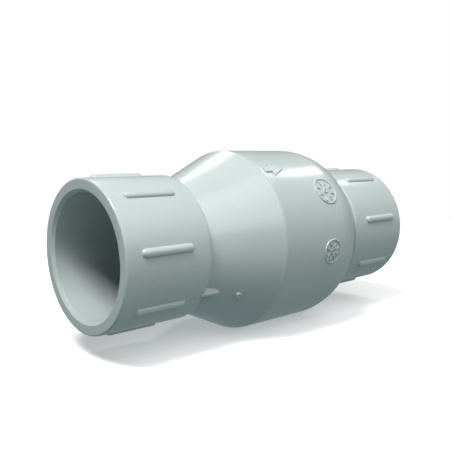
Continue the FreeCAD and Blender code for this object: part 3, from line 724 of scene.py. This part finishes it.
def wire_mesh(name, path, radius, material):
    """A closed round wire along a path, with domed ends."""
    bm = bmesh.new()
    sides, dome_share = 14, 0.6
    count = len(path)
    side = Vector((0, 1, 0))
    rings = []
    stations = [(path[0], 0, 0.25), (path[0], 0, 0.75)] + [(p, i, 1.0) for i, p in enumerate(path)]
    stations += [(path[-1], count - 1, 0.75), (path[-1], count - 1, 0.25)]
    for n, (p, i, share) in enumerate(stations):
        along = (path[min(i + 1, count - 1)] - path[max(i - 1, 0)]).normalized()
        side = (side - along * side.dot(along)).normalized()
        other = along.cross(side)
        cap = radius * (1 - share ** 2) ** 0.5 * dome_share
        middle = p + along * (cap if n > count else -cap)
        rings.append([
            bm.verts.new(middle + (side * math.cos(a) + other * math.sin(a)) * radius * share)
            for a in (2 * math.pi * k / sides for k in range(sides))
        ])
    for a, b in zip(rings[:-1], rings[1:]):
        for k in range(sides):
            bm.faces.new((a[k], a[(k + 1) % sides], b[(k + 1) % sides], b[k]))
    bm.faces.new(list(reversed(rings[0])))
    bm.faces.new(rings[-1])
    bmesh.ops.translate(bm, vec=(pin_x, 0, pin_z), verts=bm.verts)
    return finished(name, bm, material, smooth_angle=60)


spring_wire = stainless("spring_wire", (0.60, 0.595, 0.58), 0.19, pin_axis, 1, 0.60 * mm)
spring = wire_mesh("coiled_spring", spring_path(), wire_r, spring_wire)
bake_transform(spring)
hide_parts("torsion_spring")

# ---------------------------------------------------------------- set
# A pale paper floor that the valve lies on, inside a plain white dome. A lamp above on the inlet
# side and a large softbox in front light it, some light comes back up from below, and two small
# lamps behind give the highlights.

floor_z, floor_size, dome_radius = cad_box[0][2], 8, 3.9
floor_glow = 0.30
fade_from, fade_to = 0.25, 0.6     # the floor turns to plain white this far from the valve, in m
bpy.ops.mesh.primitive_plane_add(size=floor_size, location=(0, 0, floor_z))
floor = bpy.context.object
floor.name = "floor"
paper, tree, principled = shader("pale_paper", roughness=0.9)
principled.inputs["Base Color"].default_value = (0.9, 0.9, 0.9, 1)
principled.inputs["Specular IOR Level"].default_value = 0.0
principled.inputs["Emission Color"].default_value = (1, 1, 1, 1)
principled.inputs["Emission Strength"].default_value = floor_glow
white = tree.nodes.new("ShaderNodeEmission")
fade = tree.nodes.new("ShaderNodeMixShader")
place = tree.nodes.new("ShaderNodeTexCoord")
reach = tree.nodes.new("ShaderNodeVectorMath")
reach.operation = "LENGTH"
tree.links.new(place.outputs["Object"], reach.inputs[0])
tree.links.new(between(tree, reach.outputs["Value"], 0.0, 1.0, fade_from, fade_to),
               fade.inputs["Fac"])
tree.links.new(principled.outputs["BSDF"], fade.inputs[1])
tree.links.new(white.outputs["Emission"], fade.inputs[2])
tree.links.new(fade.outputs["Shader"], tree.nodes["Material Output"].inputs["Surface"])
floor.data.materials.append(paper)

bpy.ops.mesh.primitive_uv_sphere_add(segments=48, ring_count=24, radius=dome_radius,
                                     location=(0, 0, 0))
dome = bpy.context.object
dome.name = "backdrop"
backdrop_white = bpy.data.materials.new("backdrop_white")
backdrop_white.use_nodes = True
backdrop_white.node_tree.nodes.clear()
glow = backdrop_white.node_tree.nodes.new("ShaderNodeEmission")
finish = backdrop_white.node_tree.nodes.new("ShaderNodeOutputMaterial")
backdrop_white.node_tree.links.new(glow.outputs["Emission"], finish.inputs["Surface"])
dome.data.materials.append(backdrop_white)
for thing in (floor, dome):
    thing.visible_diffuse = False
    thing.visible_glossy = False
dome.visible_shadow = False

world = bpy.data.worlds.new("studio")
bpy.context.scene.world = world
world.use_nodes = True
sky = world.node_tree
back = sky.nodes["Background"]
direction = sky.nodes.new("ShaderNodeTexCoord")
split = sky.nodes.new("ShaderNodeSeparateXYZ")
ramp = sky.nodes.new("ShaderNodeValToRGB")
spread = sky.nodes.new("ShaderNodeMapRange")
spread.inputs["From Min"].default_value = -1
sky.links.new(direction.outputs["Generated"], split.inputs["Vector"])
sky.links.new(split.outputs["Z"], spread.inputs["Value"])
sky.links.new(spread.outputs["Result"], ramp.inputs["Fac"])
from_below, from_above = (0.265, 0.335, 0.34), (0.10, 0.10, 0.10)
at_horizon = (0.04, 0.045, 0.045)
stops = ramp.color_ramp.elements
stops[0].position = 0.46
stops[0].color = (*from_below, 1)
stops[1].position = 1.0
stops[1].color = (*from_above, 1)
horizon = stops.new(0.53)
horizon.color = (*at_horizon, 1)
sky.links.new(ramp.outputs["Color"], back.inputs["Color"])
back.inputs["Strength"].default_value = 1.0


def lamp(name, towards, distance, size, brightness):
    """A square lamp in a direction from the valve; brightness is what it adds to a facing surface."""
    data = bpy.data.lights.new(name, "AREA")
    data.shape = "SQUARE"
    data.size = size
    data.energy = brightness * math.pi * distance ** 2 * math.pi
    light = bpy.data.objects.new(name, data)
    light.location = Vector(towards).normalized() * distance
    light.rotation_euler = Vector(towards).to_track_quat("Z", "Y").to_euler()
    bpy.context.scene.collection.objects.link(light)


lamp("key", (-0.47, -0.09, 0.88), 1.2, 0.40, 1.02)
lamp("softbox", (0.02, -0.64, 0.77), 1.6, 1.9, 0.90)
lamp("streak", (0.31, 0.635, 0.705), 1.0, 0.08, 0.13)
lamp("patch", (0.76, 0.07, 0.64), 1.0, 0.09, 0.07)

# ---------------------------------------------------------------- camera
# The camera stands close to the inlet on the valve's near side, just above the top of the body,
# and looks a little down along the valve. It has a plain lens, with no shift and no focus blur.

eye = Vector((-243.9, -252.1, 50.05)) * mm
ahead = Vector((0.6679, 0.7339, -0.1240)).normalized()
roll = math.radians(0.24)
camera_data = bpy.data.cameras.new("camera")
camera_data.lens = 49.08
camera_data.sensor_width = 36
camera = bpy.data.objects.new("camera", camera_data)
camera.location = eye
camera.rotation_euler = (ahead.to_track_quat("-Z", "Y").to_matrix().to_4x4()
                         @ Matrix.Rotation(roll, 4, "Z")).to_euler()
bpy.context.scene.collection.objects.link(camera)
bpy.context.scene.camera = camera
bpy.context.scene.view_settings.view_transform = "Standard"
